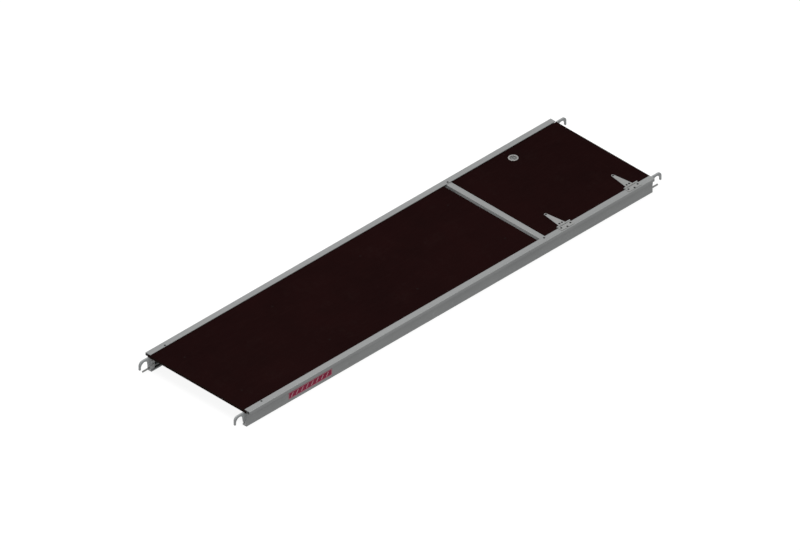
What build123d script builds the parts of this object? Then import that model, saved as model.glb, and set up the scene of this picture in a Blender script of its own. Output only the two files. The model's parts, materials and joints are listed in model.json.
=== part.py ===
from build123d import *
from math import radians, tan
import os

# Scaffold platform: two side rails, four claw hooks, a plywood deck and a hinged hatch.
# Millimetres, +Z up, +X along the plank.  The origin is midway between the rails and
# the rail ends, on the plane that the rails' feet stand on.
# "In" is measured from a rail web's outer face towards the middle of the plank, and
# "along" from the rails' left ends.

# ---- overall ----
rail_length = 2435.0
width_over_webs = 595.0

# ---- rail section ----
rail_height = 81.5
rail_wall = 3.0
channel_width = 24.0
foot_lip_height = 7.3
flange_inner_reach = 15.0
bead_reach = 15.0
bead_height = 16.0
bead_wall = 2.5
bead_round = 3.0
inner_round = 1.5
flange_inset = 2.9
web_seam_below_deck = 1.0

# ---- deck, bearers and cross bar ----
deck_thickness = 12.0
deck_edge_gap = 0.2
bearer_count = 4
first_bearer_along = 97.0
last_bearer_inset = 86.0
bearer_width = 30.0
bearer_height = 30.0
bearer_wall = 2.5
bearer_round = 2.0
hatch_bay = 628.0
cross_bar_width = 29.0
cross_bar_below_deck = 18.0
deck_to_bar_gap = 15.5
rest_leg = 20.0
rest_wall = 2.5
rest_rivet_count = 5
rest_rivet_margin = 55.0
end_beam_inset = 27.0

# ---- hatch ----
hatch_side_gap = 2.0
hatch_bevel = 4.0

# ---- hooks ----
hook_thickness = 8.0
hook_plane_in = 12.2
throat_radius = 21.6
jaw_width = 10.9
mouth_flare = 3.0
tip_width = 8.6
crown_width = 11.3
tip_below_throat = 9.9
hook_shoulder_round = 20.0
hook_tip_round = 3.0
jaw_foot_round = 4.0
hook_back_gap = 0.5
hook_back_slope = 10.5
hook_back_bulge = 2.1
hook_edge = 0.8

# ---- end blocks and their bolts ----
block_length = 22.5
block_gap = 0.2
shank_slot_gap = 0.1
bolt_radius = 4.0
bolt_head_across_flats = 13.0
bolt_head_height = 5.3
bolt_tip_margin = 1.0
lower_bolt_above_jaw = 7.0
upper_bolt_below_ledge = 11.0

# ---- anti-lift locks ----
rod_radius = 4.0
rod_z = 15.0
rod_below_throat = 0.3
rod_cover = 2.5
rod_reach = 43.0
rod_travel = 46.0
rod_tip_chamfer = 1.5
running_fit = 0.08
bracket_along = 60.0
bracket_ear = 4.0
bracket_base = 2.0
bracket_side_gap = 1.5
ear_above_rod = 4.0
collar_gap = 0.3
collar_length = 8.0
collar_wall = 2.5
collar_to_handle = 54.0
handle_radius = 3.0
handle_stop_gap = 1.0
handle_stem_length = 17.0
knob_radius = 8.5
knob_length = 12.0
knob_round = 3.5
rod_tail = 8.0
bracket_screw_radius = 1.9
bracket_screw_head_radius = 3.4
bracket_screw_head_height = 2.0
bracket_screw_in = 8.0

# ---- T-hinges ----
hinge_inset = 111.5
hinge_axis_in = 20.7
hinge_axis_above_rail = 2.0
barrel_radius = 4.0
barrel_length = 76.0
hinge_pin_radius = 2.0
knuckle_gap = 0.5
strap_knuckle = 39.0
hinge_plate = 2.0
leaf_outer_in = -9.0
leaf_notch_gap = 0.8
leaf_corner = 3.0
strap_shoulder = 9.3
strap_web = 7.3
strap_length = 113.3
strap_tip_radius = 6.5
strap_root_screw_in = 16.3
strap_root_screw_spacing = 15.0
strap_tip_screw_inset = 8.0
leaf_side_rivet_out = 27.5
leaf_side_rivet_in = 6.0
leaf_middle_rivet_in = -3.5

# ---- latch and pull ----
latch_from_far_web = 76.0
latch_from_hatch_middle = -4.0
cup_radius = 18.0
cup_flange_width = 4.5
cup_flange_thickness = 1.2
cup_wall = 2.0
cup_floor = 2.5
cup_below_hatch = 2.0
cup_hole_gap = 0.2
cup_screw_count = 4
cup_screw_radius = 0.9
cup_screw_head_radius = 1.5
cup_screw_length = 9.0
core_gap = 0.3
core_side_gap = 0.5
core_thickness = 3.0
spindle_radius = 5.0
stud_radius = 4.0
cam_below_ledge = 1.0
cam_thickness = 3.0
cam_hub_radius = 9.0
cam_half_width = 6.5
cam_reach = 62.0
nut_thickness = 5.0
stud_tail = 1.5
stop_beside_cam = 10.0
stop_from_spindle = 45.0
stop_radius = 3.0
ring_from_core_edge = 6.5
ring_bar = 2.5
ring_thickness = 3.0
ring_lift = 2.7
ring_leg = 10.0
ring_pivot_back = 6.5
ring_eye_radius = 2.4
ring_pin_radius = 1.5
lug_gap = 0.5
lug_width = 3.0
lug_depth = 5.0
lug_above_pin = 2.4

# ---- fasteners ----
rivet_radius = 2.0
rivet_head_radius = 4.8
rivet_head_height = 1.6
rivet_tail_radius = 2.9
rivet_tail_length = 4.0
rivet_in = 8.0
fastener_gap = 0.1
deck_screw_radius = 2.5
deck_screw_head_radius = 4.6
countersink_angle = 90.0
deck_screw_from_middle = 171.5
deck_screw_tail = 5.0
strap_bolt_radius = 2.5
strap_nut_across_flats = 8.0
strap_nut_height = 4.0
strap_bolt_tail = 1.0

# ---- label ----
label_along = 252.0
label_length = 260.0
label_bottom = 15.0
label_height = 33.0
label_thickness = 0.4

# ---- places worked out from the sizes above ----
left_end = -rail_length / 2
right_end = rail_length / 2
near_web = -width_over_webs / 2
far_web = width_over_webs / 2
deck_top = rail_height - rail_wall
deck_bottom = deck_top - deck_thickness
ledge_bottom = deck_bottom - rail_wall
bar_right = right_end - hatch_bay
bar_left = bar_right - cross_bar_width
bar_middle = (bar_left + bar_right) / 2
bar_bottom = deck_bottom - cross_bar_below_deck
cross_bar_height = deck_top - bar_bottom
deck_right = bar_left - deck_to_bar_gap
hatch_left = bar_right + hatch_side_gap
hatch_near = near_web + flange_inner_reach + hatch_side_gap
hatch_far = far_web - flange_inner_reach - hatch_side_gap
end_beam_x = right_end - end_beam_inset - bearer_width / 2
hinge_y = near_web + hinge_axis_in
hinge_z = rail_height + hinge_axis_above_rail
hinge_places = (hatch_left + hinge_inset, right_end - hinge_inset)
hook_y = near_web + hook_plane_in
throat_height = rod_z + rod_radius + rod_below_throat + throat_radius
throat_out = throat_radius + jaw_width
jaw_foot_height = rod_z + rod_radius + rod_cover
hook_reach = throat_out + throat_radius + tip_width
hook_top = throat_height + throat_radius + crown_width
hook_tip_height = throat_height - tip_below_throat
collar_radius = rod_radius + collar_wall
latch_x = (hatch_left + right_end) / 2 + latch_from_hatch_middle
latch_y = far_web - latch_from_far_web
cup_flange_radius = cup_radius + cup_flange_width
core_radius = cup_radius - cup_wall - core_side_gap
ring_half_width = core_radius - ring_from_core_edge
rivet_hole_radius = rivet_radius + fastener_gap
first_bearer_x = left_end + first_bearer_along
bearer_pitch = (deck_right - last_bearer_inset - first_bearer_x) / (bearer_count - 1)
bearer_places = [first_bearer_x + i * bearer_pitch for i in range(bearer_count)]
deck_screw_rows = (-deck_screw_from_middle, deck_screw_from_middle)
deck_screw_places = [(x, y) for x in bearer_places for y in deck_screw_rows]
strap_bolt_places = [
    (x + across, hinge_y + in_from_axis)
    for x in hinge_places
    for across, in_from_axis in (
        (-strap_root_screw_spacing / 2, strap_root_screw_in),
        (strap_root_screw_spacing / 2, strap_root_screw_in),
        (0, strap_length - strap_tip_screw_inset),
    )
]
leaf_rivet_places = [
    (x + across, near_web + inwards)
    for x in hinge_places
    for across, inwards in (
        (-leaf_side_rivet_out, leaf_side_rivet_in),
        (0, leaf_middle_rivet_in),
        (leaf_side_rivet_out, leaf_side_rivet_in),
    )
]
stop_place = (latch_x - stop_beside_cam, latch_y + stop_from_spindle)

# The near-left corner's pieces serve all four corners by mirroring.
corner_mirrors = {
    "near_left": [],
    "near_right": [Plane.YZ],
    "far_left": [Plane.XZ],
    "far_right": [Plane.YZ, Plane.XZ],
}


def save(piece, node):
    """Label a finished piece and write it as parts/NODE.step."""
    piece.label = node
    export_step(piece, f"parts/{node}.step")


def at_corner(piece, corner):
    """A copy of a near-left piece at the named corner."""
    for plane in corner_mirrors[corner]:
        piece = mirror(piece, about=plane)
    return piece


def make_rivet(grip):
    """A blind rivet along Z: domed head above Z 0, shank through the grip, set tail below it."""
    with BuildPart() as rivet:
        with BuildSketch(Plane.XZ):
            with BuildLine():
                Polyline(
                    (0, rivet_head_height),
                    (0, -grip - rivet_tail_length),
                    (rivet_tail_radius, -grip - rivet_tail_length),
                    (rivet_tail_radius, -grip),
                    (rivet_radius, -grip),
                    (rivet_radius, 0),
                    (rivet_head_radius, 0),
                )
                rise = rivet_head_height
                dome = (rivet_head_radius**2 + rise**2) / (2 * rise)
                RadiusArc((rivet_head_radius, 0), (0, rise), -dome)
            make_face()
        revolve(axis=Axis.Z)
    return rivet.part


def make_screw(shank_radius, head_radius, length):
    """A countersunk screw along Z with its flat head's top at Z 0 and a pointed end."""
    head_height = (head_radius - shank_radius) / tan(radians(countersink_angle / 2))
    with BuildPart() as screw:
        with BuildSketch(Plane.XZ):
            with BuildLine():
                Polyline(
                    (0, 0),
                    (head_radius, 0),
                    (shank_radius, -head_height),
                    (shank_radius, -length + shank_radius),
                    (0, -length),
                    close=True,
                )
            make_face()
        revolve(axis=Axis.Z)
    return screw.part


def make_group(piece, places, rotation=(0, 0, 0)):
    """Copies of one fastener at each place, as separate solids in one node."""
    with BuildPart() as group:
        with Locations(*places):
            add(piece, rotation=rotation)
    return group.part


def make_rail(leaf_rivets, foot_screws):
    """The near rail: channel open inwards, deck slot, top flange and hollow outer bead."""
    bead_bottom = rail_height - bead_height
    with BuildPart() as rail:
        with BuildSketch(Plane.YZ.offset(left_end)) as profile:
            walls = (
                (0, rail_wall, 0, rail_height),
                (0, channel_width, 0, rail_wall),
                (channel_width - rail_wall, channel_width, 0, foot_lip_height),
                (0, channel_width, ledge_bottom, deck_bottom),
                (-bead_reach, flange_inner_reach, deck_top, rail_height),
                (-bead_reach, bead_wall - bead_reach, bead_bottom, rail_height),
                (-bead_reach, 0, bead_bottom, bead_bottom + bead_wall),
            )
            for outer, inner, low, high in walls:
                with Locations((near_web + (outer + inner) / 2, (low + high) / 2)):
                    Rectangle(inner - outer, high - low)
            corners = (
                (-bead_reach, rail_height, bead_round),
                (-bead_reach, bead_bottom, bead_round),
                (rail_wall, ledge_bottom, inner_round),
                (rail_wall, rail_wall, inner_round),
                (0, 0, inner_round),
            )
            for inwards, height, radius in corners:
                corner = (near_web + inwards, height)
                fillet(profile.vertices().sort_by_distance(corner)[0], radius)
        extrude(amount=rail_length)
        # the flange and bead stop short of the web's ends
        for end, side in ((left_end, Align.MIN), (right_end, Align.MAX)):
            with Locations((end, near_web, bead_bottom)):
                Box(flange_inset, bead_reach, bead_height,
                    align=(side, Align.MAX, Align.MIN), mode=Mode.SUBTRACT)
            with Locations((end, near_web, deck_bottom)):
                Box(flange_inset, flange_inner_reach, rail_height - deck_bottom,
                    align=(side, Align.MIN, Align.MIN), mode=Mode.SUBTRACT)
        rivet_y = near_web + rivet_in
        with Locations((bearer_places[0], rivet_y, rail_height)):
            Hole(rivet_hole_radius, rail_height - ledge_bottom)
        with Locations((bar_middle, rivet_y, rail_height)):
            Hole(rivet_hole_radius, rail_wall)
        for x, y in leaf_rivets:
            with Locations((x, y, rail_height)):
                Hole(rivet_hole_radius, rail_wall)
        for place in foot_screws:
            with Locations(place):
                Hole(bracket_screw_radius + fastener_gap, rail_wall)
    return rail.part


def rail_pieces(rail):
    """The near rail in three, parted inside it: top with bead and ledge, web, and foot."""
    web_height = deck_bottom - web_seam_below_deck
    sides = (Align.CENTER, Align.MIN, Align.MIN)
    with BuildPart() as web:
        add(rail)
        with Locations((0, near_web, 0)):
            Box(rail_length, rail_wall, web_height, align=sides, mode=Mode.INTERSECT)
    with BuildPart() as top_and_foot:
        add(rail)
        with Locations((0, near_web, 0)):
            Box(rail_length, rail_wall, web_height, align=sides, mode=Mode.SUBTRACT)
    foot, top = top_and_foot.part.solids().sort_by(Axis.Z)
    return {"top": top, "web": web.part, "foot": foot}


def make_hook():
    """A claw hook cut from plate: shank inside the rail's end, throat open downwards."""
    with BuildPart() as hook:
        with BuildSketch(Plane.XZ.offset(-hook_y - hook_thickness / 2)) as outline:
            inner_jaw = left_end - jaw_width
            mouth = inner_jaw + mouth_flare
            outer_jaw = left_end - throat_out - throat_radius
            tip = left_end - hook_reach
            back = left_end - hook_back_gap
            shank_end = left_end + block_length
            shank_top = ledge_bottom - block_gap
            with BuildLine():
                Polyline((outer_jaw, throat_height), (outer_jaw, hook_tip_height), (tip, hook_tip_height),
                         (tip, hook_top - hook_shoulder_round))
                RadiusArc((tip, hook_top - hook_shoulder_round),
                          (tip + hook_shoulder_round, hook_top), hook_shoulder_round)
                Line((tip + hook_shoulder_round, hook_top), (back - hook_back_slope, hook_top))
                SagittaArc((back - hook_back_slope, hook_top), (back, shank_top), hook_back_bulge)
                Polyline((back, shank_top), (shank_end, shank_top), (shank_end, jaw_foot_height),
                         (mouth, jaw_foot_height), (inner_jaw, throat_height))
                ThreePointArc((inner_jaw, throat_height),
                              (left_end - throat_out, throat_height + throat_radius),
                              (outer_jaw, throat_height))
            make_face()
            for x, radius in ((outer_jaw, hook_tip_round), (tip, hook_tip_round)):
                fillet(outline.vertices().sort_by_distance((x, hook_tip_height))[0], radius)
            fillet(outline.vertices().sort_by_distance((mouth, jaw_foot_height))[0], jaw_foot_round)
        extrude(amount=hook_thickness)
        outside = hook.edges().filter_by_position(
            Axis.X, left_end - hook_reach - 1, left_end - hook_back_gap - hook_edge)
        chamfer([edge for edge in outside if keeps_off_throat(edge)], hook_edge)
        for height in hook_bolt_heights():
            with Locations(Plane.XZ.offset(-hook_y - hook_thickness / 2)):
                with Locations((left_end + block_length / 2, height)):
                    Hole(bolt_radius + fastener_gap, hook_thickness)
    return hook.part


def hook_bolt_heights():
    """Heights of the two bolts that hold each hook's shank."""
    return (jaw_foot_height + lower_bolt_above_jaw, ledge_bottom - upper_bolt_below_ledge)


def keeps_off_throat(edge):
    """Whether an edge of the hook plate may be eased: not the throat's, and not across the plate."""
    flat = edge.bounding_box().size.Y < hook_thickness / 2
    on_throat = edge.geom_type == GeomType.CIRCLE and abs(edge.radius - throat_radius) < hook_edge
    return flat and not on_throat


def make_end_block():
    """The block in the rail's end: slot for the hook's shank, bore for a lock rod."""
    middle = (left_end + block_length / 2, near_web + rail_wall + block_gap)
    width = channel_width - 2 * rail_wall - 2 * block_gap
    height = ledge_bottom - rail_wall - 2 * block_gap
    with BuildPart() as block:
        with BuildSketch(Plane.XY.offset(rail_wall + block_gap)):
            with Locations(middle):
                Rectangle(block_length, width, align=(Align.CENTER, Align.MIN))
        extrude(amount=height)
        chamfer(block.edges().filter_by(Axis.X), inner_round)
        slot_floor = jaw_foot_height - shank_slot_gap
        with BuildSketch(Plane.XY.offset(slot_floor)):
            with Locations((middle[0], hook_y)):
                Rectangle(block_length, hook_thickness + 2 * shank_slot_gap)
        extrude(amount=ledge_bottom - slot_floor, mode=Mode.SUBTRACT)
        with Locations(Plane.YZ.offset(left_end + block_length)):
            with Locations((hook_y, rod_z)):
                Hole(rod_radius + running_fit, block_length)
        for bolt_height in hook_bolt_heights():
            with Locations(Plane.XZ.offset(-near_web - rail_wall)):
                with Locations((middle[0], bolt_height)):
                    Cylinder(bolt_radius + fastener_gap, 2 * channel_width, mode=Mode.SUBTRACT)
    return block.part


def make_hex_bolt(length):
    """A hexagon bolt along Z with its head above Z 0."""
    with BuildPart() as bolt:
        with BuildSketch(Plane.XY):
            RegularPolygon(bolt_head_across_flats / 2, 6, major_radius=False)
        extrude(amount=bolt_head_height)
        with BuildSketch(Plane.XY):
            Circle(bolt_radius)
        extrude(amount=-length)
        chamfer(bolt.edges().sort_by(Axis.Z)[0], bolt_radius / 4)
    return bolt.part


def make_hook_bolts():
    """Two bolts for each hook, put in from the open side of each rail."""
    head_face = near_web + channel_width - rail_wall - block_gap
    length = channel_width - 2 * rail_wall - 2 * block_gap - bolt_tip_margin
    bolt = make_hex_bolt(length)
    places = [(left_end + block_length / 2, head_face, height) for height in hook_bolt_heights()]
    pair = make_group(bolt, places, rotation=(-90, 0, 0))
    with BuildPart() as group:
        for corner in corner_mirrors:
            add(at_corner(pair, corner))
    return group.part


def make_bearer(x):
    """A box section under the deck, its ends cut down to pass under the rails' ledges."""
    with BuildPart() as bearer:
        length = width_over_webs - 2 * rail_wall
        with BuildSketch(Plane.XZ.offset(-length / 2)):
            with Locations((x, deck_bottom - bearer_height / 2)):
                RectangleRounded(bearer_width, bearer_height, bearer_round)
                Rectangle(bearer_width - 2 * bearer_wall, bearer_height - 2 * bearer_wall,
                          mode=Mode.SUBTRACT)
        extrude(amount=length)
        for side, align in ((near_web, Align.MIN), (far_web, Align.MAX)):
            with Locations((x, side, deck_bottom)):
                Box(bearer_width, channel_width, rail_wall + inner_round,
                    align=(Align.CENTER, align, Align.MAX), mode=Mode.SUBTRACT)
        for screw_x, screw_y in deck_screw_places:
            if screw_x == x:
                with Locations((x, screw_y, deck_bottom)):
                    Hole(deck_screw_radius + fastener_gap, bearer_wall)
    return bearer.part


def make_cross_bar():
    """The bar between deck and hatch: its ends are cut away below and sit on the rails' ledges."""
    with BuildPart() as bar:
        length = width_over_webs - 2 * rail_wall
        with BuildSketch(Plane.XZ.offset(-length / 2)):
            with Locations((bar_middle, (bar_bottom + deck_top) / 2)):
                RectangleRounded(cross_bar_width, cross_bar_height, bearer_round)
                Rectangle(cross_bar_width - 2 * bearer_wall, cross_bar_height - 2 * bearer_wall,
                          mode=Mode.SUBTRACT)
        extrude(amount=length)
        for side, align in ((near_web, Align.MIN), (far_web, Align.MAX)):
            with Locations((bar_middle, side, bar_bottom)):
                Box(cross_bar_width, channel_width, deck_bottom - bar_bottom,
                    align=(Align.CENTER, align, Align.MIN), mode=Mode.SUBTRACT)
        for y in (near_web + rivet_in, far_web - rivet_in):
            with Locations((bar_middle, y, deck_top)):
                Hole(rivet_hole_radius, bearer_wall)
        with Locations(Plane.YZ.offset(bar_right)):
            with Locations(*[(y, rest_rivet_height()) for y in rest_rivet_places()]):
                Hole(rivet_hole_radius, bearer_wall)
    return bar.part


def rest_rivet_height():
    """Height of the rivets through the hatch rest's upright leg."""
    return deck_bottom - (rest_leg + rest_wall) / 2


def rest_rivet_places():
    """Places across the plank of the hatch rest's rivets."""
    first = near_web + channel_width + rest_rivet_margin
    pitch = -2 * first / (rest_rivet_count - 1)
    return [first + i * pitch for i in range(rest_rivet_count)]


def make_hatch_rest():
    """An angle on the cross bar's right side that the hatch's left edge lies on."""
    length = width_over_webs - 2 * channel_width - 2 * hatch_side_gap
    with BuildPart() as rest:
        with BuildSketch(Plane.XZ.offset(-length / 2)):
            with Locations((bar_right, deck_bottom)):
                Rectangle(rest_leg, rest_wall, align=(Align.MIN, Align.MAX))
                Rectangle(rest_wall, rest_leg, align=(Align.MIN, Align.MAX))
        extrude(amount=length)
        with Locations(Plane.YZ.offset(bar_right + rest_wall)):
            with Locations(*[(y, rest_rivet_height()) for y in rest_rivet_places()]):
                Hole(rivet_hole_radius, rest_wall)
    return rest.part


def make_main_deck():
    """The fixed plywood deck, held in the rails' slots."""
    width = width_over_webs - 2 * rail_wall - 2 * deck_edge_gap
    with BuildPart() as deck:
        with BuildSketch(Plane.XY.offset(deck_bottom)):
            with Locations(((left_end + deck_right) / 2, 0)):
                Rectangle(deck_right - left_end, width)
        extrude(amount=deck_thickness)
        for y in (near_web + rivet_in, far_web - rivet_in):
            with Locations((bearer_places[0], y, deck_top)):
                Hole(rivet_hole_radius, deck_thickness)
        cut_screw_holes(deck_screw_places)
    return deck.part


def cut_screw_holes(places):
    """Countersunk holes for deck screws, in the sheet being built."""
    with Locations(*[(x, y, deck_top) for x, y in places]):
        CounterSinkHole(deck_screw_radius + fastener_gap, deck_screw_head_radius + fastener_gap,
                        depth=deck_thickness, counter_sink_angle=countersink_angle)


def make_hatch_panel():
    """The plywood hatch, its hinge edge bevelled below so that it swings clear of the ledge."""
    with BuildPart() as hatch:
        with BuildSketch(Plane.YZ.offset(hatch_left)):
            with BuildLine():
                Polyline(
                    (hatch_near, deck_top),
                    (hatch_near, deck_bottom + hatch_bevel),
                    (hatch_near + hatch_bevel, deck_bottom),
                    (hatch_far, deck_bottom),
                    (hatch_far, deck_top),
                    close=True,
                )
            make_face()
        extrude(amount=right_end - hatch_left)
        with Locations(*[(x, y, deck_top) for x, y in strap_bolt_places]):
            Hole(strap_bolt_radius + fastener_gap, deck_thickness)
        with Locations((latch_x, latch_y, deck_top)):
            Hole(cup_radius + cup_hole_gap, deck_thickness)
        with Locations((*stop_place, deck_top)):
            CounterSinkHole(stop_radius + fastener_gap, deck_screw_head_radius + fastener_gap,
                            depth=deck_thickness, counter_sink_angle=countersink_angle)
        with Locations(*cup_screw_places(deck_top)):
            Hole(cup_screw_radius + fastener_gap, deck_thickness)
    return hatch.part


def cup_screw_places(height):
    """Places of the small screws round the cup's rim, at the given height."""
    pitch_radius = (cup_radius + cup_flange_radius) / 2
    with PolarLocations(pitch_radius, cup_screw_count, start_angle=180 / cup_screw_count) as ring:
        return [(latch_x + place.position.X, latch_y + place.position.Y, height)
                for place in ring.local_locations]


def make_hinge_leaf(x):
    """A rail leaf: plate on the top flange with a knuckle at each end of the barrel."""
    half_barrel = barrel_length / 2
    half_gap = strap_knuckle / 2 + knuckle_gap
    with BuildPart() as leaf:
        with BuildSketch(Plane.XY.offset(rail_height)) as outline:
            outer_y = near_web + leaf_outer_in
            with BuildLine():
                Polyline(
                    (x - half_barrel, outer_y),
                    (x + half_barrel, outer_y),
                    (x + half_barrel, hinge_y),
                    (x + half_gap, hinge_y),
                    (x + half_gap, hinge_y - barrel_radius - leaf_notch_gap),
                    (x - half_gap, hinge_y - barrel_radius - leaf_notch_gap),
                    (x - half_gap, hinge_y),
                    (x - half_barrel, hinge_y),
                    close=True,
                )
            make_face()
            for side in (x - half_barrel, x + half_barrel):
                fillet(outline.vertices().sort_by_distance((side, outer_y))[0], leaf_corner)
        extrude(amount=hinge_plate)
        for start in (x - half_barrel, x + half_gap):
            with BuildSketch(Plane.YZ.offset(start)):
                with Locations((hinge_y, hinge_z)):
                    Circle(barrel_radius)
            extrude(amount=half_barrel - half_gap)
        with BuildSketch(Plane.YZ.offset(x - half_barrel)):
            with Locations((hinge_y, hinge_z)):
                Circle(hinge_pin_radius)
        extrude(amount=barrel_length, mode=Mode.SUBTRACT)
        places = [(rivet_x, y, rail_height + hinge_plate) for rivet_x, y in leaf_rivet_places
                  if abs(rivet_x - x) < half_barrel]
        with Locations(*places):
            Hole(rivet_hole_radius, hinge_plate)
    return leaf.part


def make_hinge_strap(x):
    """A hatch strap: middle knuckle and a plate that tapers to a round tip."""
    half = strap_knuckle / 2
    tip_centre = hinge_y + strap_length - strap_tip_radius
    shoulder = hinge_y + strap_shoulder
    with BuildPart() as strap:
        with BuildSketch(Plane.XY.offset(deck_top)):
            with BuildLine():
                Polyline(
                    (x - strap_tip_radius, tip_centre),
                    (x - half, shoulder),
                    (x - half, hinge_y),
                    (x + half, hinge_y),
                    (x + half, shoulder),
                    (x + strap_tip_radius, tip_centre),
                )
                ThreePointArc((x + strap_tip_radius, tip_centre), (x, hinge_y + strap_length),
                              (x - strap_tip_radius, tip_centre))
            make_face()
        extrude(amount=hinge_plate)
        with BuildSketch(Plane.YZ.offset(x - half)):
            with Locations((hinge_y, hinge_z)):
                Circle(barrel_radius)
            with BuildLine():
                Polyline(
                    (hinge_y, deck_top + hinge_plate / 2),
                    (hinge_y + barrel_radius * 0.8, hinge_z - barrel_radius * 0.6),
                    (hinge_y + strap_web, deck_top + hinge_plate),
                    (hinge_y + strap_web, deck_top + hinge_plate / 2),
                    close=True,
                )
            make_face()
        extrude(amount=strap_knuckle)
        with BuildSketch(Plane.YZ.offset(x - half)):
            with Locations((hinge_y, hinge_z)):
                Circle(hinge_pin_radius + running_fit)
        extrude(amount=strap_knuckle, mode=Mode.SUBTRACT)
        places = [(bolt_x, y, deck_top + hinge_plate) for bolt_x, y in strap_bolt_places
                  if abs(bolt_x - x) < half]
        with Locations(*places):
            Hole(strap_bolt_radius + fastener_gap, hinge_plate)
    return strap.part


def make_hinge_pin(x):
    """A hinge pin, flush with the ends of its barrel."""
    with BuildPart() as pin:
        with BuildSketch(Plane.YZ.offset(x - barrel_length / 2)):
            with Locations((hinge_y, hinge_z)):
                Circle(hinge_pin_radius)
        extrude(amount=barrel_length)
    return pin.part


def make_strap_bolt():
    """A round-head bolt along Z that goes through strap and hatch, with Z 0 under its head."""
    length = hinge_plate + deck_thickness + strap_nut_height + strap_bolt_tail
    with BuildPart() as bolt:
        with BuildSketch(Plane.XZ):
            with BuildLine():
                Polyline(
                    (0, rivet_head_height),
                    (0, -length),
                    (strap_bolt_radius, -length),
                    (strap_bolt_radius, 0),
                    (rivet_head_radius, 0),
                )
                rise = rivet_head_height
                dome = (rivet_head_radius**2 + rise**2) / (2 * rise)
                RadiusArc((rivet_head_radius, 0), (0, rise), -dome)
            make_face()
        revolve(axis=Axis.Z)
    return bolt.part


def make_nut(bore, across_flats, height):
    """A hexagon nut along Z, hung below Z 0."""
    with BuildPart() as nut:
        with BuildSketch(Plane.XY):
            RegularPolygon(across_flats / 2, 6, major_radius=False)
            Circle(bore, mode=Mode.SUBTRACT)
        extrude(amount=-height)
    return nut.part


def make_latch_cup():
    """The round dish in the hatch that the pull lies in, with its rim on the hatch."""
    bottom = deck_bottom - cup_below_hatch
    rim_top = deck_top + cup_flange_thickness
    axis = Location((latch_x, latch_y))
    with BuildPart() as cup:
        with BuildSketch(Plane.XY.offset(bottom)):
            with Locations(axis):
                Circle(cup_radius)
        extrude(amount=rim_top - bottom)
        with BuildSketch(Plane.XY.offset(deck_top)):
            with Locations(axis):
                Circle(cup_flange_radius)
        extrude(amount=cup_flange_thickness)
        rim = cup.edges().group_by(Axis.Z)[-1].sort_by(SortBy.RADIUS)[-1]
        fillet(rim, cup_flange_thickness / 2)
        with BuildSketch(Plane.XY.offset(bottom + cup_floor)):
            with Locations(axis):
                Circle(cup_radius - cup_wall)
        extrude(amount=rim_top - bottom, mode=Mode.SUBTRACT)
        with Locations((latch_x, latch_y, bottom + cup_floor)):
            Hole(spindle_radius + running_fit, cup_floor)
        with Locations(*cup_screw_places(rim_top)):
            CounterSinkHole(cup_screw_radius + fastener_gap, cup_screw_head_radius + fastener_gap,
                            depth=cup_flange_thickness, counter_sink_angle=countersink_angle)
    return cup.part


def make_latch_core():
    """The turning core: disc with two lugs for the ring's pin, spindle and threaded stud."""
    disc_bottom = deck_bottom - cup_below_hatch + cup_floor + core_gap
    disc_top = disc_bottom + core_thickness
    cam_top = ledge_bottom - cam_below_ledge
    stud_bottom = cam_top - cam_thickness - nut_thickness - stud_tail
    axis = Location((latch_x, latch_y))
    lug_top = ring_pin_height() + lug_above_pin
    with BuildPart() as core:
        with BuildSketch(Plane.XY.offset(disc_top)):
            for side in (-1, 1):
                across = side * (ring_half_width + lug_gap + lug_width / 2)
                with Locations((latch_x + across, latch_y - ring_pivot_back)):
                    Rectangle(lug_width, lug_depth)
            with Locations(axis):
                Circle(core_radius, mode=Mode.INTERSECT)
        extrude(amount=lug_top - disc_top)
        for low, high, radius in (
            (disc_bottom, disc_top, core_radius),
            (cam_top, disc_bottom, spindle_radius),
            (stud_bottom, cam_top, stud_radius),
        ):
            with BuildSketch(Plane.XY.offset(low)):
                with Locations(axis):
                    Circle(radius)
            extrude(amount=high - low)
        with BuildSketch(Plane.YZ.offset(latch_x - cup_radius)):
            with Locations((latch_y - ring_pivot_back, ring_pin_height())):
                Circle(ring_pin_radius + fastener_gap)
        extrude(amount=2 * cup_radius, mode=Mode.SUBTRACT)
    return core.part


def ring_pin_height():
    """Height of the pull ring's pin."""
    disc_top = deck_bottom - cup_below_hatch + cup_floor + core_gap + core_thickness
    return disc_top + ring_lift + ring_thickness / 2


def make_pull_ring():
    """The folding pull: two legs with eyes on the pin, joined by a half ring."""
    pivot_y = latch_y - ring_pivot_back
    bend_y = pivot_y + ring_leg
    inner = ring_half_width - ring_bar
    with BuildPart() as ring:
        with BuildSketch(Plane.XY.offset(ring_pin_height() - ring_thickness / 2)):
            with BuildLine():
                for radius in (ring_half_width, inner):
                    Line((latch_x - radius, pivot_y), (latch_x - radius, bend_y))
                    ThreePointArc((latch_x - radius, bend_y), (latch_x, bend_y + radius),
                                  (latch_x + radius, bend_y))
                    Line((latch_x + radius, bend_y), (latch_x + radius, pivot_y))
                for side in (-1, 1):
                    Line((latch_x + side * inner, pivot_y), (latch_x + side * ring_half_width, pivot_y))
            make_face()
        extrude(amount=ring_thickness)
        for start in (latch_x - ring_half_width, latch_x + inner):
            with BuildSketch(Plane.YZ.offset(start)):
                with Locations((pivot_y, ring_pin_height())):
                    Circle(ring_eye_radius)
            extrude(amount=ring_bar)
        with BuildSketch(Plane.YZ.offset(latch_x - ring_half_width)):
            with Locations((pivot_y, ring_pin_height())):
                Circle(ring_pin_radius + running_fit)
        extrude(amount=2 * ring_half_width, mode=Mode.SUBTRACT)
    return ring.part


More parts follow.
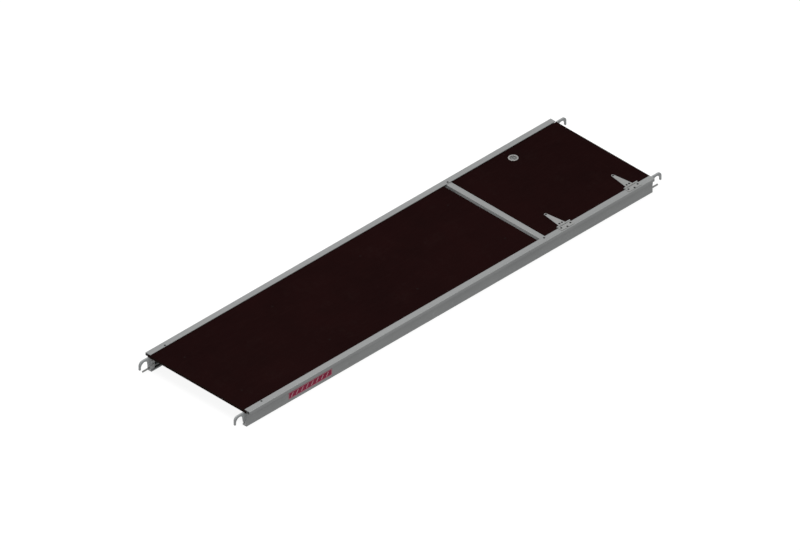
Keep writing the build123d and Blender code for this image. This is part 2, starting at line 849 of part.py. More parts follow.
def make_ring_pin():
    """The pull ring's pin, through both lugs of the core."""
    half_length = ring_half_width + lug_gap + lug_width
    with BuildPart() as pin:
        with BuildSketch(Plane.YZ.offset(latch_x - half_length)):
            with Locations((latch_y - ring_pivot_back, ring_pin_height())):
                Circle(ring_pin_radius)
        extrude(amount=2 * half_length)
    return pin.part


def make_latch_cam():
    """The cam under the hatch: turned a quarter, its arm reaches under the far rail's ledge."""
    top = ledge_bottom - cam_below_ledge
    with BuildPart() as cam:
        with BuildSketch(Plane.XY.offset(top - cam_thickness)):
            with Locations((latch_x, latch_y)):
                Circle(cam_hub_radius)
                Rectangle(cam_reach - cam_half_width, 2 * cam_half_width, align=(Align.MIN, Align.CENTER))
            with Locations((latch_x + cam_reach - cam_half_width, latch_y)):
                Circle(cam_half_width)
            with Locations((latch_x, latch_y)):
                Circle(stud_radius + fastener_gap, mode=Mode.SUBTRACT)
        extrude(amount=cam_thickness)
    return cam.part


def make_lock_rod():
    """The anti-lift rod: it passes under a tube held in the hook, and carries a cross hole."""
    with BuildPart() as rod:
        with BuildSketch(Plane.YZ.offset(left_end - rod_reach)):
            with Locations((hook_y, rod_z)):
                Circle(rod_radius)
        extrude(amount=rod_reach + rod_end_along())
        chamfer(rod.edges().group_by(Axis.X)[0], rod_tip_chamfer)
        with Locations(Plane.XZ.offset(-hook_y)):
            with Locations((left_end + handle_along(), rod_z)):
                Cylinder(handle_radius + fastener_gap, 4 * rod_radius, mode=Mode.SUBTRACT)
    return rod.part


def handle_along():
    """Where the lock's handle stands, from the rail's end."""
    return bracket_along + bracket_ear + collar_gap + collar_length + collar_to_handle


def bracket_end_along():
    """Inner face of the bracket's second ear, from the rail's end."""
    return handle_along() + handle_radius + rod_travel + handle_stop_gap + bracket_ear


def rod_end_along():
    """The rod's inner end, from the rail's end."""
    return bracket_end_along() + rod_tail


def make_rod_bracket():
    """A strip with two turned-up ears, screwed to the rail's foot, that guides the lock rod."""
    outer = near_web + rail_wall + bracket_side_gap
    inner = near_web + channel_width - rail_wall - bracket_side_gap
    length = bracket_end_along() - bracket_along
    start = left_end + bracket_along
    ear_height = rod_z + rod_radius + ear_above_rod - rail_wall
    with BuildPart() as bracket:
        with Locations((start, outer, rail_wall)):
            Box(length, inner - outer, bracket_base, align=Align.MIN)
        for ear in (start, start + length - bracket_ear):
            with Locations((ear, outer, rail_wall)):
                Box(bracket_ear, inner - outer, ear_height, align=Align.MIN)
        tops = bracket.edges().filter_by(Axis.X).group_by(Axis.Z)[-1]
        fillet(tops, ear_above_rod / 2)
        with BuildSketch(Plane.YZ.offset(start)):
            with Locations((hook_y, rod_z)):
                Circle(rod_radius + running_fit)
        extrude(amount=length, mode=Mode.SUBTRACT)
        with Locations(*bracket_screw_places(rail_wall + bracket_base)):
            Hole(bracket_screw_radius + fastener_gap, bracket_base)
    return bracket.part


def bracket_screw_places(height):
    """Places of the bracket's two screws, clear of the travelling collar."""
    after_collar = bracket_along + bracket_ear + collar_gap + collar_length + rod_travel
    first = after_collar + 2 * bracket_screw_head_radius
    last = bracket_end_along() - bracket_ear - 2 * bracket_screw_head_radius
    y = near_web + bracket_screw_in
    return [(left_end + first, y, height), (left_end + last, y, height)]


def make_rod_collar():
    """The collar on the rod that stops it against the bracket's outer ear."""
    start = left_end + bracket_along + bracket_ear + collar_gap
    with BuildPart() as collar:
        with BuildSketch(Plane.YZ.offset(start)):
            with Locations((hook_y, rod_z)):
                Circle(collar_radius)
                Circle(rod_radius, mode=Mode.SUBTRACT)
        extrude(amount=collar_length)
        ends = collar.edges().filter_by(GeomType.CIRCLE).sort_by(SortBy.RADIUS)[-2:]
        chamfer(ends, running_fit * 8)
    return collar.part


def make_rod_handle():
    """The handle: a stem through the rod with a round knob beyond the channel's mouth."""
    stem_start = hook_y - rod_radius
    knob_start = stem_start + handle_stem_length
    with BuildPart() as handle:
        with BuildSketch(Plane.XZ.offset(-stem_start)):
            with Locations((left_end + handle_along(), rod_z)):
                Circle(handle_radius)
        extrude(amount=-handle_stem_length)
        with BuildSketch(Plane.XZ.offset(-knob_start)):
            with Locations((left_end + handle_along(), rod_z)):
                Circle(knob_radius)
        extrude(amount=-knob_length)
        ends = handle.edges().filter_by(GeomType.CIRCLE).sort_by(SortBy.RADIUS)[-2:]
        fillet(ends, knob_round)
    return handle.part


def make_bracket_screw():
    """A flat cylinder-head screw along Z, with Z 0 under its head."""
    with BuildPart() as screw:
        with BuildSketch(Plane.XY):
            Circle(bracket_screw_head_radius)
        extrude(amount=bracket_screw_head_height)
        with BuildSketch(Plane.XY):
            Circle(bracket_screw_radius)
        extrude(amount=-bracket_base - rail_wall * 0.9)
    return screw.part


def make_label():
    """The plain label on the near rail's outer face."""
    with BuildPart() as label:
        with BuildSketch(Plane.XZ.offset(-near_web)):
            with Locations((left_end + label_along + label_length / 2, label_bottom + label_height / 2)):
                Rectangle(label_length, label_height)
        extrude(amount=label_thickness)
    return label.part


os.makedirs("parts", exist_ok=True)

# ---- rails, hooks and end blocks ----
foot_screws = bracket_screw_places(rail_wall)
foot_screws_right = [(-x, y, z) for x, y, z in foot_screws]
for level, piece in rail_pieces(make_rail(leaf_rivet_places, foot_screws_right)).items():
    save(piece, f"rail_near_{level}")
for level, piece in rail_pieces(make_rail([], foot_screws)).items():
    save(mirror(piece, about=Plane.XZ), f"rail_far_{level}")
hook = make_hook()
end_block = make_end_block()
for corner in corner_mirrors:
    save(at_corner(hook, corner), f"hook_{corner}")
    save(at_corner(end_block, corner), f"end_block_{corner}")
save(make_hook_bolts(), "hook_bolts")

# ---- deck and cross members ----
save(make_main_deck(), "main_deck")
for number, bearer_x in enumerate(bearer_places, start=1):
    save(make_bearer(bearer_x), f"deck_bearer_{number}")
save(make_bearer(end_beam_x), "hatch_end_beam")
save(make_cross_bar(), "cross_bar")
save(make_hatch_rest(), "hatch_rest")
rest_places = [(bar_right + rest_wall, y, rest_rivet_height()) for y in rest_rivet_places()]
save(make_group(make_rivet(rest_wall + bearer_wall), rest_places, rotation=(0, 90, 0)), "hatch_rest_rivets")
deck_screw = make_screw(deck_screw_radius, deck_screw_head_radius,
                        deck_thickness + bearer_wall + deck_screw_tail)
save(make_group(deck_screw, [(x, y, deck_top) for x, y in deck_screw_places]), "deck_screws")
rivet_rows = (near_web + rivet_in, far_web - rivet_in)
deck_rivet_places = [(bearer_places[0], y, rail_height) for y in rivet_rows]
save(make_group(make_rivet(rail_height - ledge_bottom), deck_rivet_places), "deck_rivets")
bar_rivet_places = [(bar_middle, y, rail_height) for y in rivet_rows]
save(make_group(make_rivet(rail_wall + bearer_wall), bar_rivet_places), "cross_bar_rivets")

# ---- hatch and hinges ----
save(make_hatch_panel(), "hatch_panel")
for side, hinge_x in zip(("left", "right"), hinge_places):
    save(make_hinge_leaf(hinge_x), f"hinge_leaf_{side}")
    save(make_hinge_strap(hinge_x), f"hinge_strap_{side}")
    save(make_hinge_pin(hinge_x), f"hinge_pin_{side}")
leaf_places = [(x, y, rail_height + hinge_plate) for x, y in leaf_rivet_places]
save(make_group(make_rivet(hinge_plate + rail_wall), leaf_places), "hinge_leaf_rivets")
strap_places = [(x, y, deck_top + hinge_plate) for x, y in strap_bolt_places]
save(make_group(make_strap_bolt(), strap_places), "hinge_strap_bolts")
strap_nut = make_nut(strap_bolt_radius + fastener_gap, strap_nut_across_flats, strap_nut_height)
save(make_group(strap_nut, [(x, y, deck_bottom) for x, y in strap_bolt_places]), "hinge_strap_nuts")

# ---- latch and pull ring ----
cam_bottom = ledge_bottom - cam_below_ledge - cam_thickness
save(make_latch_cup(), "latch_cup")
cup_screw = make_screw(cup_screw_radius, cup_screw_head_radius, cup_screw_length)
save(make_group(cup_screw, cup_screw_places(deck_top + cup_flange_thickness)), "latch_cup_screws")
save(make_latch_core(), "latch_core")
save(make_latch_cam(), "latch_cam")
latch_nut = make_nut(stud_radius + fastener_gap, bolt_head_across_flats, nut_thickness)
save(make_group(latch_nut, [(latch_x, latch_y, cam_bottom)]), "latch_nut")
stop_screw = make_screw(stop_radius, deck_screw_head_radius, deck_top - cam_bottom)
save(make_group(stop_screw, [(*stop_place, deck_top)]), "latch_stop_screw")
save(make_pull_ring(), "pull_ring")
save(make_ring_pin(), "ring_pin")

# ---- anti-lift locks, at two opposite corners ----
lock_pieces = {
    "lock_rod": make_lock_rod(),
    "rod_bracket": make_rod_bracket(),
    "rod_collar": make_rod_collar(),
    "rod_handle": make_rod_handle(),
    "bracket_screws": make_group(make_bracket_screw(), bracket_screw_places(rail_wall + bracket_base)),
}
for corner in ("near_right", "far_left"):
    for name, lock_piece in lock_pieces.items():
        save(at_corner(lock_piece, corner), f"{name}_{corner}")

save(make_label(), "label")
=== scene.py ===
import json
import math

import bpy
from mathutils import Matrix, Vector


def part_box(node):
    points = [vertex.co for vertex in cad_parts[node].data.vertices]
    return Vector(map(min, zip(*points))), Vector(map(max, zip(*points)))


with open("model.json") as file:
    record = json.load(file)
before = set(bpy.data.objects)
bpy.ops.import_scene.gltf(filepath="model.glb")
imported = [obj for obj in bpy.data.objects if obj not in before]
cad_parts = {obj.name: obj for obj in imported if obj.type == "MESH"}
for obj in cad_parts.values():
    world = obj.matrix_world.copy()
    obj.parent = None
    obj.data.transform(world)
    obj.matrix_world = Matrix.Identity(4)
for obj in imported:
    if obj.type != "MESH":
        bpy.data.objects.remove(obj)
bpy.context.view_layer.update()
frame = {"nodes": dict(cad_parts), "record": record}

MM = 0.001

# the picture's parallel view, from the near-left
VIEW_AZIMUTH = math.radians(-45.0)
VIEW_ELEVATION = math.atan(1 / math.sqrt(2))  # isometric, 35.264 degrees
VIEW_WIDTH = 3.393
VIEW_TARGET = (0, 0, 0.031)
VIEW_DISTANCE = 8
VIEW_CLIP_END = 100

# the studio
FLOOR_HALF_SIZE = 60
FLOOR_HEIGHT = -0.5 * MM
FLOOR_GREY = 0.16
FLOOR_GLOW = 0.9
FLOOR_ROUGHNESS = 0.9
SKY_STRENGTH = 0.5
KEY_PLACE = (-0.6, -0.6, 7.0)
KEY_SIZE = 5.0
KEY_POWER = 352

WHITE = (1, 1, 1, 1)
# most values of a noise texture lie in this part of 0 to 1
NOISE_RANGE = (0.3, 0.7)
# rays that find each rounded edge and each crevice
EDGE_RAYS = 4


# ---- camera ----

def make_camera():
    """The picture's parallel camera, aimed at the plank's middle."""
    back = Vector((math.sin(VIEW_AZIMUTH) * math.cos(VIEW_ELEVATION),
                   -math.cos(VIEW_AZIMUTH) * math.cos(VIEW_ELEVATION),
                   math.sin(VIEW_ELEVATION)))
    data = bpy.data.cameras.new("camera")
    data.type = "ORTHO"
    data.ortho_scale = VIEW_WIDTH
    data.clip_end = VIEW_CLIP_END
    camera = bpy.data.objects.new("camera", data)
    bpy.context.collection.objects.link(camera)
    camera.location = Vector(VIEW_TARGET) + back * VIEW_DISTANCE
    camera.rotation_mode = "QUATERNION"
    camera.rotation_quaternion = (-back).to_track_quat("-Z", "Y")
    bpy.context.scene.camera = camera


# ---- lights and floor ----

def make_stage():
    """A pale floor, an even studio sky and a large soft light overhead."""
    size = FLOOR_HALF_SIZE
    corners = [(-size, -size, 0), (size, -size, 0), (size, size, 0), (-size, size, 0)]
    mesh = bpy.data.meshes.new("floor")
    mesh.from_pydata(corners, [], [(0, 1, 2, 3)])
    floor = bpy.data.objects.new("floor", mesh)
    floor.location.z = FLOOR_HEIGHT
    # the floor is seen, but throws no light back on the plank's sides
    floor.visible_diffuse = False
    floor.visible_glossy = False
    bpy.context.collection.objects.link(floor)
    material = new_material("floor")
    sockets = material.node_tree.nodes["Principled BSDF"].inputs
    sockets["Base Color"].default_value = (FLOOR_GREY, FLOOR_GREY, FLOOR_GREY, 1)
    sockets["Emission Color"].default_value = WHITE
    sockets["Emission Strength"].default_value = FLOOR_GLOW
    sockets["Roughness"].default_value = FLOOR_ROUGHNESS
    sockets["Specular IOR Level"].default_value = 0.0
    mesh.materials.append(material)

    world = bpy.data.worlds.new("studio")
    world.use_nodes = True
    background = world.node_tree.nodes["Background"].inputs
    background["Color"].default_value = WHITE
    background["Strength"].default_value = SKY_STRENGTH
    bpy.context.scene.world = world
    add_area("key", KEY_PLACE, KEY_SIZE, KEY_POWER)


def add_area(name, place, size, power):
    """A square soft light at a place, aimed at the origin."""
    data = bpy.data.lights.new(name, "AREA")
    data.size = size
    data.energy = power
    light = bpy.data.objects.new(name, data)
    light.location = place
    light.rotation_mode = "QUATERNION"
    light.rotation_quaternion = (-Vector(place)).to_track_quat("-Z", "Y")
    bpy.context.collection.objects.link(light)


# ---- material building blocks ----

def new_material(name):
    """A new node material, which starts with a Principled shader."""
    material = bpy.data.materials.new(name)
    material.use_nodes = True
    return material


class Nodes:
    """Short calls for the nodes of one material."""

    def __init__(self, name):
        self.material = new_material(name)
        self.tree = self.material.node_tree
        self.shader = self.tree.nodes["Principled BSDF"]
        self.position = self.tree.nodes.new("ShaderNodeTexCoord").outputs["Object"]

    def join(self, output, socket):
        self.tree.links.new(output, socket)

    def add(self, kind, **settings):
        node = self.tree.nodes.new(kind)
        for key, value in settings.items():
            setattr(node, key, value)
        return node

    def put(self, socket, value):
        """Joins an output to a socket, or sets the socket to a plain value."""
        if hasattr(value, "is_output"):
            self.join(value, socket)
        else:
            socket.default_value = value

    def stretched(self, scale, turn=(0, 0, 0)):
        """Object position, turned and scaled along each axis."""
        node = self.add("ShaderNodeMapping")
        self.join(self.position, node.inputs["Vector"])
        node.inputs["Scale"].default_value = scale
        node.inputs["Rotation"].default_value = turn
        return node.outputs["Vector"]

    def noise(self, scale, detail=4, roughness=0.55, vector=None, distortion=0.0, output="Fac"):
        node = self.add("ShaderNodeTexNoise")
        self.join(vector or self.position, node.inputs["Vector"])
        node.inputs["Scale"].default_value = scale
        node.inputs["Detail"].default_value = detail
        node.inputs["Roughness"].default_value = roughness
        node.inputs["Distortion"].default_value = distortion
        return node.outputs[output]

    def voronoi(self, scale, output="Distance", vector=None, randomness=1.0):
        node = self.add("ShaderNodeTexVoronoi")
        self.join(vector or self.position, node.inputs["Vector"])
        node.inputs["Scale"].default_value = scale
        node.inputs["Randomness"].default_value = randomness
        return node.outputs[output]

    def ramp(self, fac, low, high, first=0.0, last=1.0):
        """Maps a range of fac to a range of values, clamped."""
        node = self.add("ShaderNodeMapRange", clamp=True)
        self.put(node.inputs["Value"], fac)
        limits = (("From Min", low), ("From Max", high), ("To Min", first), ("To Max", last))
        for key, value in limits:
            node.inputs[key].default_value = value
        return node.outputs["Result"]

    def mix(self, fac, first, second):
        """Mixes two colours."""
        node = self.add("ShaderNodeMix", data_type="RGBA")
        self.put(node.inputs["Factor"], fac)
        colours = [s for s in node.inputs if s.type == "RGBA"]
        for socket, colour in zip(colours, (first, second)):
            self.put(socket, colour if hasattr(colour, "is_output") else (*colour, 1))
        return next(s for s in node.outputs if s.type == "RGBA")

    def math(self, operation, first, second=0.0):
        node = self.add("ShaderNodeMath", operation=operation)
        self.put(node.inputs[0], first)
        self.put(node.inputs[1], second)
        return node.outputs[0]

    def times(self, first, second):
        return self.math("MULTIPLY", first, second)

    def bump(self, height, strength, distance, normal=None):
        node = self.add("ShaderNodeBump")
        self.join(height, node.inputs["Height"])
        node.inputs["Strength"].default_value = strength
        node.inputs["Distance"].default_value = distance
        if normal is not None:
            self.join(normal, node.inputs["Normal"])
        return node.outputs["Normal"]

    def axis(self, name):
        """One coordinate of the object position."""
        node = self.add("ShaderNodeSeparateXYZ")
        self.join(self.position, node.inputs[0])
        return node.outputs[name]

    def eased_edges(self, radius):
        """A normal that rounds sharp edges, and an edge mask: 0 on flat faces, 1 on edges."""
        sharp, flat = 0.80, 0.995
        bevel = self.add("ShaderNodeBevel", samples=EDGE_RAYS)
        bevel.inputs["Radius"].default_value = radius
        face_normal = self.add("ShaderNodeNewGeometry").outputs["Normal"]
        dot = self.add("ShaderNodeVectorMath", operation="DOT_PRODUCT")
        self.join(bevel.outputs["Normal"], dot.inputs[0])
        self.join(face_normal, dot.inputs[1])
        return bevel.outputs["Normal"], self.ramp(dot.outputs["Value"], sharp, flat, 1.0, 0.0)

    def corners(self, distance):
        """A painted-shade mask from ambient occlusion: 1 deep in inner corners and crevices, where
        shade falls, 0 in the open.
        """
        deep, open_air = 0.45, 0.85
        node = self.add("ShaderNodeAmbientOcclusion", samples=EDGE_RAYS)
        node.inputs["Distance"].default_value = distance
        return self.ramp(node.outputs["AO"], deep, open_air, 1.0, 0.0)

    def finish(self, colour, roughness, normal, metallic=0.0, specular=0.5):
        """Joins the three outputs to the shader and sets its plain values."""
        sockets = self.shader.inputs
        self.join(colour, sockets["Base Color"])
        self.join(roughness, sockets["Roughness"])
        self.join(normal, sockets["Normal"])
        sockets["Metallic"].default_value = metallic
        sockets["Specular IOR Level"].default_value = specular
        return self.material


# ---- materials ----

def extruded_aluminium(name, lengthwise="X", grime_and_shade_strength=0.5):
    """Mill-finish extrusion: die lines along it, cloudy oxide, scuffs, and corners darkened by
    painted shade broken up with grime.
    """
    n = Nodes(name)
    dull, bright = (0.288, 0.295, 0.294), (0.348, 0.356, 0.354)
    streaked, oxidised = (0.372, 0.380, 0.376), (0.262, 0.268, 0.270)
    stained, crevice_shade = (0.205, 0.203, 0.196), (0.115, 0.110, 0.102)
    scuffed, rubbed = (0.47, 0.48, 0.48), (0.50, 0.51, 0.51)
    along, across = 0.6, 90.0
    drawn = n.stretched((along, across, across) if lengthwise == "X" else (across, along, across))
    lines = n.noise(9, detail=3, vector=drawn)
    fine = n.noise(28, detail=2, vector=drawn)
    streaks = n.noise(1.6, detail=3, vector=drawn)
    patches = n.noise(3.2, detail=5, roughness=0.6)
    grime = n.noise(24, detail=6, roughness=0.7)
    scuffs = n.ramp(n.noise(60, detail=4, distortion=1.5), 0.62, 0.70)
    rounded, edge = n.eased_edges(0.9 * MM)
    base = n.mix(n.ramp(lines, *NOISE_RANGE), dull, bright)
    base = n.mix(n.ramp(streaks, 0.35, 0.65, 0.0, 0.35), base, streaked)
    base = n.mix(n.ramp(patches, 0.35, 0.7, 0.0, 0.4), base, oxidised)
    base = n.mix(n.ramp(grime, 0.58, 0.78, 0.0, 0.4), base, stained)
    base = n.mix(n.times(scuffs, 0.3), base, scuffed)
    base = n.mix(n.times(edge, 0.45), base, rubbed)
    # painted shade: ambient occlusion darkens the corners, broken up in patches by the grime noise
    grime_and_crevice_shade = n.times(n.corners(6 * MM), n.ramp(grime, 0.3, 0.6, 0.1, grime_and_shade_strength))
    base = n.mix(grime_and_crevice_shade, base, crevice_shade)
    rough = n.math("ADD", n.ramp(patches, *NOISE_RANGE, 0.36, 0.5),
                   n.ramp(fine, *NOISE_RANGE, -0.05, 0.05))
    normal = n.bump(lines, 0.25, 0.0002, rounded)
    normal = n.bump(fine, 0.2, 0.0001, normal)
    return n.finish(base, rough, normal, metallic=0.3)


def galvanised_steel(name):
    """Hot-dip zinc: spangle in soft cells, cloudy tone, a lumpy skin and rubbed edges."""
    n = Nodes(name)
    dark_cell, light_cell = (0.360, 0.373, 0.376), (0.425, 0.438, 0.440)
    cloudy, rubbed, crevice_shade = (0.310, 0.321, 0.324), (0.44, 0.45, 0.45), (0.15, 0.145, 0.135)
    spangle = n.add("ShaderNodeRGBToBW")
    # the cells' borders waver by a few millimetres
    drift = n.noise(70, detail=2, roughness=0.5, output="Color")
    shift = n.add("ShaderNodeVectorMath", operation="SCALE")
    n.join(drift, shift.inputs[0])
    shift.inputs["Scale"].default_value = 6 * MM
    wavy = n.add("ShaderNodeVectorMath", operation="ADD")
    n.join(n.position, wavy.inputs[0])
    n.join(shift.outputs[0], wavy.inputs[1])
    n.join(n.voronoi(210, output="Color", vector=wavy.outputs[0]), spangle.inputs[0])
    clouds = n.noise(26, detail=5, roughness=0.6)
    rounded, edge = n.eased_edges(0.8 * MM)
    base = n.mix(spangle.outputs[0], dark_cell, light_cell)
    base = n.mix(n.ramp(clouds, 0.35, 0.7, 0.0, 0.4), base, cloudy)
    base = n.mix(n.times(edge, 0.4), base, rubbed)
    # painted shade: crevices darkened from ambient occlusion
    base = n.mix(n.times(n.corners(5 * MM), 0.35), base, crevice_shade)
    rough = n.ramp(clouds, *NOISE_RANGE, 0.42, 0.6)
    normal = n.bump(n.noise(120, detail=3), 0.2, 0.0004, rounded)
    return n.finish(base, rough, normal, metallic=0.3)


def cast_aluminium(name):
    """Sand-cast block: cloudy tone, and a grainy skin with darker pits."""
    n = Nodes(name)
    dull, bright = (0.42, 0.425, 0.425), (0.50, 0.505, 0.505)
    pitted, worn = (0.30, 0.30, 0.30), (0.42, 0.42, 0.42)
    grain = n.noise(520, detail=3, roughness=0.7)
    clouds = n.noise(45, detail=4)
    rounded, edge = n.eased_edges(0.8 * MM)
    base = n.mix(n.ramp(clouds, *NOISE_RANGE), dull, bright)
    base = n.mix(n.ramp(grain, 0.6, 0.75, 0.0, 0.4), base, pitted)
    base = n.mix(n.times(edge, 0.3), base, worn)
    rough = n.ramp(grain, *NOISE_RANGE, 0.5, 0.7)
    return n.finish(base, rough, n.bump(grain, 0.5, 0.0002, rounded), metallic=0.25)


def zinc_steel(name):
    """Bright zinc plate on pressed steel: rolling lines, cloudy stain and rubbed edges."""
    n = Nodes(name)
    dull, bright = (0.315, 0.318, 0.314), (0.385, 0.388, 0.382)
    stained, rubbed, crevice_shade = (0.27, 0.268, 0.252), (0.52, 0.52, 0.51), (0.13, 0.125, 0.115)
    lines = n.noise(30, detail=3, vector=n.stretched((14, 1, 14)))
    clouds = n.noise(38, detail=4)
    rounded, edge = n.eased_edges(0.6 * MM)
    base = n.mix(n.ramp(lines, *NOISE_RANGE), dull, bright)
    base = n.mix(n.ramp(clouds, 0.5, 0.75, 0.0, 0.5), base, stained)
    base = n.mix(n.times(edge, 0.4), base, rubbed)
    # painted shade: crevices darkened from ambient occlusion
    base = n.mix(n.times(n.corners(5 * MM), 0.5), base, crevice_shade)
    rough = n.ramp(clouds, *NOISE_RANGE, 0.32, 0.48)
    normal = n.bump(n.noise(260, detail=3), 0.15, 0.0002, rounded)
    return n.finish(base, rough, normal, metallic=0.35)


def cast_latch(name):
    """Satin die casting with a fine grain, polished edges and painted shade in its recesses."""
    n = Nodes(name)
    dull, bright = (0.335, 0.330, 0.318), (0.42, 0.413, 0.398)
    polished, crevice_shade = (0.58, 0.57, 0.55), (0.15, 0.145, 0.135)
    grain = n.noise(700, detail=2)
    clouds = n.noise(60, detail=4)
    rounded, edge = n.eased_edges(0.6 * MM)
    base = n.mix(n.ramp(clouds, *NOISE_RANGE), dull, bright)
    base = n.mix(n.times(edge, 0.5), base, polished)
    # painted shade: recesses darkened from ambient occlusion
    base = n.mix(n.times(n.corners(6 * MM), 0.3), base, crevice_shade)
    rough = n.ramp(clouds, *NOISE_RANGE, 0.3, 0.45)
    return n.finish(base, rough, n.bump(grain, 0.25, 0.0001, rounded), metallic=0.4)


def black_fastener(name):
    """Blackened steel: dark, with worn high spots."""
    n = Nodes(name)
    black, worn, rubbed = (0.004, 0.004, 0.005), (0.045, 0.044, 0.043), (0.09, 0.09, 0.09)
    rounded, edge = n.eased_edges(0.4 * MM)
    wear = n.ramp(n.noise(420, detail=4), 0.62, 0.74, 0.0, 0.3)
    base = n.mix(wear, black, worn)
    base = n.mix(n.times(edge, 0.12), base, rubbed)
    rough = n.ramp(n.noise(300), *NOISE_RANGE, 0.4, 0.6)
    return n.finish(base, rough, n.bump(n.noise(500), 0.3, 0.0001, rounded), specular=0.1)


def painted_screw(name):
    """A screw head painted over with the deck's film colour, chipped along its rim."""
    n = Nodes(name)
    dark, light = (0.0060, 0.0022, 0.0021), (0.0120, 0.0050, 0.0046)
    chipped = (0.040, 0.032, 0.028)
    rounded, edge = n.eased_edges(0.4 * MM)
    chips = n.ramp(n.noise(500, detail=4), 0.64, 0.74, 0.0, 0.4)
    base = n.mix(n.noise(120, detail=4), dark, light)
    base = n.mix(n.math("MAXIMUM", chips, n.times(edge, 0.2)), base, chipped)
    rough = n.ramp(n.noise(300), *NOISE_RANGE, 0.45, 0.65)
    return n.finish(base, rough, n.bump(n.noise(420), 0.3, 0.0001, rounded), specular=0.04)


def black_knob(name):
    """Moulded black plastic with a fine matt texture, scuffed on its rim."""
    n = Nodes(name)
    dark, light, scuffed = (0.010, 0.010, 0.011), (0.022, 0.022, 0.023), (0.09, 0.09, 0.09)
    grain = n.noise(1100, detail=2)
    scuffs = n.ramp(n.noise(160, detail=5), 0.60, 0.72, 0.0, 0.35)
    rounded, edge = n.eased_edges(0.8 * MM)
    base = n.mix(n.noise(50, detail=4), dark, light)
    base = n.mix(n.times(n.math("ADD", scuffs, edge), 0.3), base, scuffed)
    rough = n.ramp(grain, *NOISE_RANGE, 0.45, 0.6)
    return n.finish(base, rough, n.bump(grain, 0.3, 0.0001, rounded), specular=0.35)


def film_faced_plywood(name, bottom, top):
    """Plywood with a dark phenolic film: mesh faces, dust, scratches, and plies on its edges."""
    n = Nodes(name)
    dark_film, light_film = (0.0078, 0.0017, 0.0017), (0.0108, 0.0025, 0.0025)
    fibrous, dusty, scratched = (0.0135, 0.0036, 0.0034), (0.030, 0.021, 0.018), (0.034, 0.018, 0.015)
    dark_ply, light_ply = (0.0105, 0.0048, 0.0042), (0.0200, 0.0098, 0.0078)
    rubbed = (0.060, 0.032, 0.020)
    ply_pairs = 4.5

    clouds = n.noise(5, detail=6, roughness=0.6)
    fibres = n.noise(11, detail=4, vector=n.stretched((1.0, 12.0, 1.0)))
    base = n.mix(n.ramp(clouds, *NOISE_RANGE), dark_film, light_film)
    base = n.mix(n.ramp(fibres, 0.5, 0.8, 0.0, 0.5), base, fibrous)
    dust = n.times(n.ramp(n.noise(9, detail=7, roughness=0.7), 0.55, 0.80),
                   n.ramp(n.noise(90, detail=4), 0.4, 0.7))
    base = n.mix(n.times(dust, 0.25), base, dusty)
    scratch = n.noise(6, detail=2, vector=n.stretched((1.5, 60.0, 1.0), (0, 0, 0.5)))
    scratch_two = n.noise(7, detail=2, vector=n.stretched((55.0, 1.2, 1.0), (0, 0, 0.8)))
    marks = n.math("MAXIMUM", n.ramp(scratch, 0.70, 0.78), n.ramp(scratch_two, 0.71, 0.79))
    base = n.mix(n.times(marks, 0.3), base, scratched)

    # the plies show only on upright faces
    rounded, edge = n.eased_edges(1.2 * MM)
    facing = n.add("ShaderNodeSeparateXYZ")
    n.join(n.add("ShaderNodeNewGeometry").outputs["Normal"], facing.inputs[0])
    side = n.ramp(n.math("ABSOLUTE", facing.outputs["Z"]), 0.3, 0.6, 1.0, 0.0)
    height = n.ramp(n.axis("Z"), bottom, top)
    plies = n.math("FRACT", n.times(height, ply_pairs))
    ply = n.ramp(n.math("ABSOLUTE", n.math("SUBTRACT", plies, 0.5)), 0.22, 0.30)
    base = n.mix(side, base, n.mix(ply, dark_ply, light_ply))
    wear = n.ramp(n.noise(30, detail=5), 0.4, 0.7, 0.0, 0.5)
    base = n.mix(n.times(edge, wear), base, rubbed)

    grid = n.stretched((1, 1, 0.0), (0, 0, math.radians(45)))
    mesh = n.voronoi(240, vector=grid, randomness=0.0)
    normal = n.bump(mesh, 0.35, 0.0004, rounded)
    normal = n.bump(fibres, 0.15, 0.0003, normal)
    rough = n.math("ADD", n.ramp(clouds, *NOISE_RANGE, 0.42, 0.56), n.times(marks, 0.15))
    return n.finish(base, rough, normal, specular=0.012)


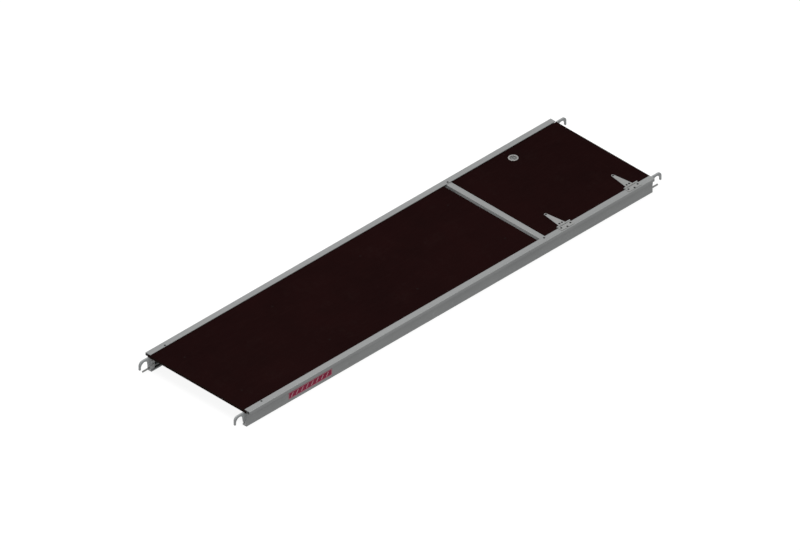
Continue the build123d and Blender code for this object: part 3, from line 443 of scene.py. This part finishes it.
def label_vinyl(name, box):
    """Crimson printed vinyl with a plain border line and a row of slanted bars."""
    n = Nodes(name)
    dark_red, light_red = (0.265, 0.011, 0.048), (0.335, 0.018, 0.064)
    printed, worn = (0.60, 0.37, 0.41), (0.26, 0.10, 0.13)
    low, high = box
    x, z = n.axis("X"), n.axis("Z")
    margin, line = 0.8 * MM, 2.4 * MM
    bars_inset = margin + 2.6 * line
    pitch, slant, bar_share = 30.0 * MM, 0.6, 0.20

    def band(value, start, end):
        above = n.math("GREATER_THAN", value, start)
        return n.times(above, n.math("LESS_THAN", value, end))

    def rectangle(inset):
        return n.times(band(x, low.x + inset, high.x - inset),
                       band(z, low.z + inset, high.z - inset))

    border = n.math("SUBTRACT", rectangle(margin), rectangle(margin + line))
    shifted = n.math("SUBTRACT", x, n.times(z, slant))
    phase = n.math("FRACT", n.math("DIVIDE", n.math("SUBTRACT", shifted, low.x), pitch))
    bars = n.times(n.math("LESS_THAN", phase, bar_share), rectangle(bars_inset))
    ink = n.math("MAXIMUM", border, bars)
    print_wear = n.ramp(n.noise(90, detail=5), 0.62, 0.78, 0.0, 0.4)
    red = n.mix(n.noise(22, detail=4), dark_red, light_red)
    base = n.mix(n.times(ink, 0.85), red, printed)
    base = n.mix(print_wear, base, worn)
    rough = n.ramp(n.noise(120), *NOISE_RANGE, 0.34, 0.5)
    return n.finish(base, rough, n.bump(n.noise(300), 0.1, 0.0001), specular=0.15)


def dress_frame():
    """Gives every CAD node the material of its slot, apart from painted screws and cross pieces."""
    deck_low, deck_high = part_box("main_deck")
    made = {
        "extruded_aluminium": extruded_aluminium("extruded_aluminium"),
        "galvanised_steel": galvanised_steel("galvanised_steel"),
        "cast_aluminium": cast_aluminium("cast_aluminium"),
        "zinc_plated_steel": zinc_steel("zinc_plated_steel"),
        "cast_latch": cast_latch("cast_latch"),
        "black_fastener": black_fastener("black_fastener"),
        "black_knob": black_knob("black_knob"),
        "film_faced_plywood": film_faced_plywood("film_faced_plywood", deck_low.z, deck_high.z),
        "label_vinyl": label_vinyl("label_vinyl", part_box("label")),
    }
    crosswise = extruded_aluminium("extruded_aluminium_crosswise", "Y", grime_and_shade_strength=0.2)
    painted = painted_screw("painted_screw")
    slots = {part["node"]: part["material_slot"] for part in frame["record"]["subparts"]}
    for node, obj in frame["nodes"].items():
        slot = slots[node]
        material = made[slot]
        if slot == "extruded_aluminium" and not node.startswith("rail_"):
            material = crosswise
        if node in ("deck_screws", "latch_stop_screw"):
            material = painted
        obj.data.materials.clear()
        obj.data.materials.append(material)


make_camera()
make_stage()
dress_frame()

bpy.context.scene.view_settings.view_transform = "Standard"
